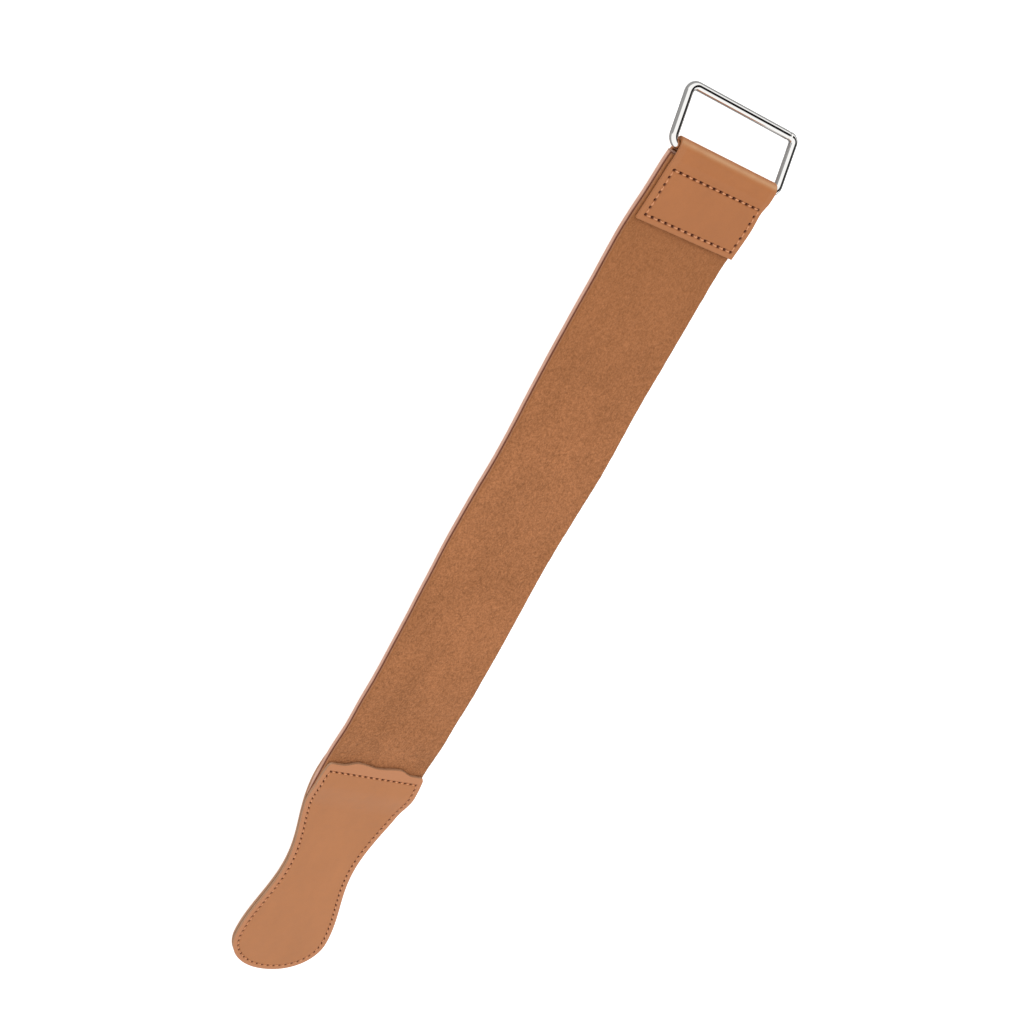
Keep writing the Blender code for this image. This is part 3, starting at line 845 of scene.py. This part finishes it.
def stitches(name, holes, place, sunk, cad_node):
    """The visible thread of one seam. holes is a closed loop of needle holes on the flat leather."""
    starts, ends = holes, np.roll(holes, -1, axis=0)
    f = np.linspace(0, 1, STITCH_POINTS)
    to_end = np.minimum(f, 1 - f) / DIP
    centre = starts[:, None] + (ends - starts)[:, None] * f[None, :, None]
    height = COVER_THICK - sunk - DIP_DEEP * smooth(1 - to_end)
    along = ends - starts
    along /= np.hypot(*along.T)[:, None]
    normal = np.stack([along[:, 1], -along[:, 0]], axis=1)
    points, flats, faces = [], [], []
    for ply in range(2):
        turn = 2 * pi * TURNS * f + pi * ply
        side_off, up_off = TWIST_OFF * np.cos(turn), TWIST_OFF * np.sin(turn)
        for k in range(PLY_SIDES):
            a = 2 * pi * k / PLY_SIDES
            off = side_off + PLY * cos(a)
            x = centre[..., 0] + normal[:, None, 0] * off
            s = centre[..., 1] + normal[:, None, 1] * off
            t = np.broadcast_to(height + up_off + PLY * sin(a), x.shape)
            points.append(place(x, s, t))
            flats.append(np.stack([x, s, t], axis=-1))
    flat = by_stitch(flats, len(holes))
    quads = np.array(around(STITCH_POINTS, PLY_SIDES)[0])
    size = STITCH_POINTS * PLY_SIDES
    for n in range(2 * len(holes)):
        faces += (quads + n * size).tolist()
        faces += [[n * size + v for v in end] for end in end_faces(STITCH_POINTS, PLY_SIDES)]
    # Painted shade on the thread where it goes down into a hole.
    dipped = np.broadcast_to(smooth(1.5 * (1 - to_end))[:, None], flat.shape[:-1])
    attributes = {"flat": flat.reshape(-1, 3), "hole": dipped.ravel()}
    places = by_stitch(points, len(holes)).reshape(-1, 3)
    piece(name, places, faces, ["thread"], np.zeros(len(faces)), attributes, "strop", cad_node)


def handle_holes():
    """The needle holes round a cover of the handle."""
    loop = both_halves(seam_half(0.0))
    return loop[(np.arange(len(loop)) - TOP_COUNT) % SAMPLES == 0]


def hanger_holes(back):
    """The needle holes round one flap of the hanger, on its developed leather."""
    across, along = HANGER_STITCHES
    half = HANGER_SEAM_HALF
    low, high = (s - HANGER_EDGE for s in HANGER_SEAM)
    if back:
        low, high = HANGER_LONG - high, HANGER_LONG - low
    corners = [(-half, low), (-half, high), (half, high), (half, low)]
    points = []
    for k in range(4):
        (ax, ay), (bx, by) = corners[k], corners[(k + 1) % 4]
        count = (along, across)[k % 2]
        points += [(ax + (bx - ax) * i / count, ay + (by - ay) * i / count) for i in range(count)]
    return np.array(points)


PROUD, SUNK = 0.05, 0.45  # how deep the threads lie in the leather: in front, and pulled tighter on the back

stitches("handle_front_stitches", handle_holes(), on_front_cover, PROUD, "handle_front_thread")
stitches("handle_back_stitches", handle_holes(), on_back_cover, SUNK, "handle_back_thread")
stitches("hanger_front_stitches", hanger_holes(back=False), on_hanger, PROUD, "hanger_front_thread")
stitches("hanger_back_stitches", hanger_holes(back=True), on_hanger, SUNK, "hanger_back_thread")


# The ring.

STRAIGHT_POINTS = 160
RING_SIDES = 40
JOINT_PAST_BEND = 0.9  # the wire's ends meet in a fine joint just past the tight bend
JOINT_WIDE, JOINT_DEEP = 0.4, 0.14  # millimetres, share of the wire's radius


def ring_path():
    """The middle of the ring's wire in its own plane: across, and out from the bar."""
    corners = [
        (RING_HALF, 0.0, RING_BEND),
        (RING_HALF, RING_DEPTH, RING_TIGHT_BEND),
        (-RING_HALF, RING_DEPTH, RING_BEND),
        (-RING_HALF, 0.0, RING_BEND),
    ]
    points = []
    for i, (x, y, r) in enumerate(corners):
        first = -pi / 2 + i * pi / 2
        cx, cy = x - r * (1 if x > 0 else -1), y + r * (1 if y == 0 else -1)
        bend = [(cx + r * cos(a), cy + r * sin(a)) for a in np.linspace(first, first + pi / 2, 15)]
        if points:
            points += np.linspace(points[-1], bend[0], STRAIGHT_POINTS)[1:-1].tolist()
        points += bend
    return np.array(points + np.linspace(points[-1], points[0], STRAIGHT_POINTS)[1:-1].tolist())


def ring():
    """The wire, shaped in its own plane and leaning from the bar down to the surface."""
    bar = lay(RING_SHIFT, BAR_Y, MIDDLE)
    droop = -np.arcsin((bar[2] / MM - WIRE / 2) / RING_DEPTH)
    path = ring_path()
    before, after = np.roll(path, 1, axis=0), np.roll(path, -1, axis=0)
    along = after - before
    along /= np.hypot(*along.T)[:, None]
    normal = np.stack([along[:, 1], -along[:, 0]], axis=1)
    a = 2 * pi * (np.arange(RING_SIDES) + 0.5) / RING_SIDES
    joint = np.array([RING_HALF - RING_TIGHT_BEND - JOINT_PAST_BEND, RING_DEPTH])
    near_joint = np.exp(-((np.hypot(*(path - joint).T) / JOINT_WIDE) ** 2))
    radius = (WIRE / 2 * (1 - JOINT_DEEP * near_joint))[:, None]
    across = path[:, None, 0] + normal[:, None, 0] * np.cos(a) * radius
    out = path[:, None, 1] + normal[:, None, 1] * np.cos(a) * radius
    up = np.sin(a) * radius
    forward = out * cos(droop) - up * sin(droop)
    z = out * sin(droop) + up * cos(droop)
    turned = radians(RING_SKEW)
    x = across * cos(turned) + forward * sin(turned)
    y = -across * sin(turned) + forward * cos(turned)
    points = np.stack([x, y, z], axis=-1) * MM + bar
    faces, _ = around(len(path), RING_SIDES, closed_rows=True)
    length = np.concatenate([[0], np.cumsum(np.hypot(*np.diff(path, axis=0).T))])
    flat = np.stack(np.broadcast_arrays(length[:, None], a[None, :] * WIRE / 2, 0.0), axis=-1)
    attributes = {"flat": flat.reshape(-1, 3)}
    piece(
        "wire_ring", points.reshape(-1, 3), faces, ["metal"], np.zeros(len(faces)), attributes,
        body="ring", cad_node="hanger_ring",
    )


ring()


# Floor, light and camera. The floor glows softly, as a light table does, but not in the ring's metal.

FLOOR_GLOW = 0.85


def floor():
    """A pale surface, far wider than the view."""
    mesh = bpy.data.meshes.new("floor")
    grid = bmesh.new()
    bmesh.ops.create_grid(grid, x_segments=8, y_segments=8, size=4.0)
    grid.to_mesh(mesh)
    grid.free()
    look, tree, shader = new_look("pale_floor", Roughness=0.9)
    mirrored = node(tree, "ShaderNodeLightPath").outputs["Is Glossy Ray"]
    # In the ring's metal the floor shows darker than the camera sees it: painted grey reflections on the
    # wire.
    tree.links.new(between(tree, mirrored, (0.5, 0.5, 0.5), (0.3, 0.3, 0.3)), shader.inputs["Base Color"])
    shader.inputs["Emission Color"].default_value = (1, 1, 1, 1)
    glow = maths(tree, "MULTIPLY", maths(tree, "SUBTRACT", 1.0, mirrored), FLOOR_GLOW)
    tree.links.new(glow, shader.inputs["Emission Strength"])
    shader.inputs["Specular IOR Level"].default_value = 0.0
    mesh.materials.append(look)
    thing = bpy.data.objects.new("floor", mesh)
    bpy.context.collection.objects.link(thing)


floor()

SKY = 1.05
# Cards that the ring mirrors: azimuth, elevation and half width in degrees, and how light they are.
CARDS = ((30, 42, 22, 0.008), (16, 8, 14, 0.008), (164, 6, 15, 0.3))


def studio():
    """Even white light from all sides, with cards in it that the camera doesn't see."""
    world = bpy.data.worlds.new("studio")
    bpy.context.scene.world = world
    world.use_nodes = True
    tree = world.node_tree
    back = tree.nodes["Background"]
    to = node(tree, "ShaderNodeTexCoord").outputs["Generated"]
    indirect = maths(tree, "SUBTRACT", 1.0, node(tree, "ShaderNodeLightPath").outputs["Is Camera Ray"])
    colour = (1.0, 1.0, 1.0)
    for azimuth, elevation, half, tone in CARDS:
        a, e = radians(azimuth), radians(elevation)
        dot = node(tree, "ShaderNodeVectorMath", [(0, to)], operation="DOT_PRODUCT")
        dot.inputs[1].default_value = (cos(e) * cos(a), cos(e) * sin(a), sin(e))
        card = spread(tree, dot.outputs["Value"], cos(radians(half + 3)), cos(radians(half - 3)))
        colour = between(tree, maths(tree, "MULTIPLY", card, indirect), colour, (tone, tone, tone))
    tree.links.new(colour, back.inputs["Color"])
    back.inputs["Strength"].default_value = SKY


studio()

KEY_PLACE = Vector((0.55, 0.75, 0.95))
KEY_SIZE, KEY_WATTS = 0.6, 5.0


def key_light():
    """A soft lamp beyond the ring, which gives the leather its shading and isn't mirrored in the metal."""
    light = bpy.data.lights.new("key", "AREA")
    light.energy, light.size = KEY_WATTS, KEY_SIZE
    thing = bpy.data.objects.new("key", light)
    thing.location = KEY_PLACE
    thing.rotation_euler = (-KEY_PLACE).to_track_quat("-Z", "Y").to_euler()
    thing.visible_glossy = False
    bpy.context.collection.objects.link(thing)


key_light()

# The camera that fits the photo's outlines.
CAMERA_PLACE = Vector((-0.34592, 0.25649, 0.49579))
CAMERA_AHEAD = Vector((0.536886, -0.3427844, -0.7708776))
CAMERA_UP = Vector((-0.2351157, 0.8167422, -0.5269277))
CAMERA_LENS = 53.012  # millimetres, on a sensor 36 mm wide


def camera():
    data = bpy.data.cameras.new("camera")
    data.lens = CAMERA_LENS
    data.sensor_width = 36.0
    data.clip_start = 0.01
    thing = bpy.data.objects.new("camera", data)
    ahead, up = CAMERA_AHEAD.normalized(), CAMERA_UP.normalized()
    right = ahead.cross(up).normalized()
    up = right.cross(ahead)
    thing.matrix_world = Matrix.Translation(CAMERA_PLACE) @ Matrix((right, up, -ahead)).transposed().to_4x4()
    bpy.context.collection.objects.link(thing)
    bpy.context.scene.camera = thing


camera()
bpy.context.scene.view_settings.view_transform = "Standard"
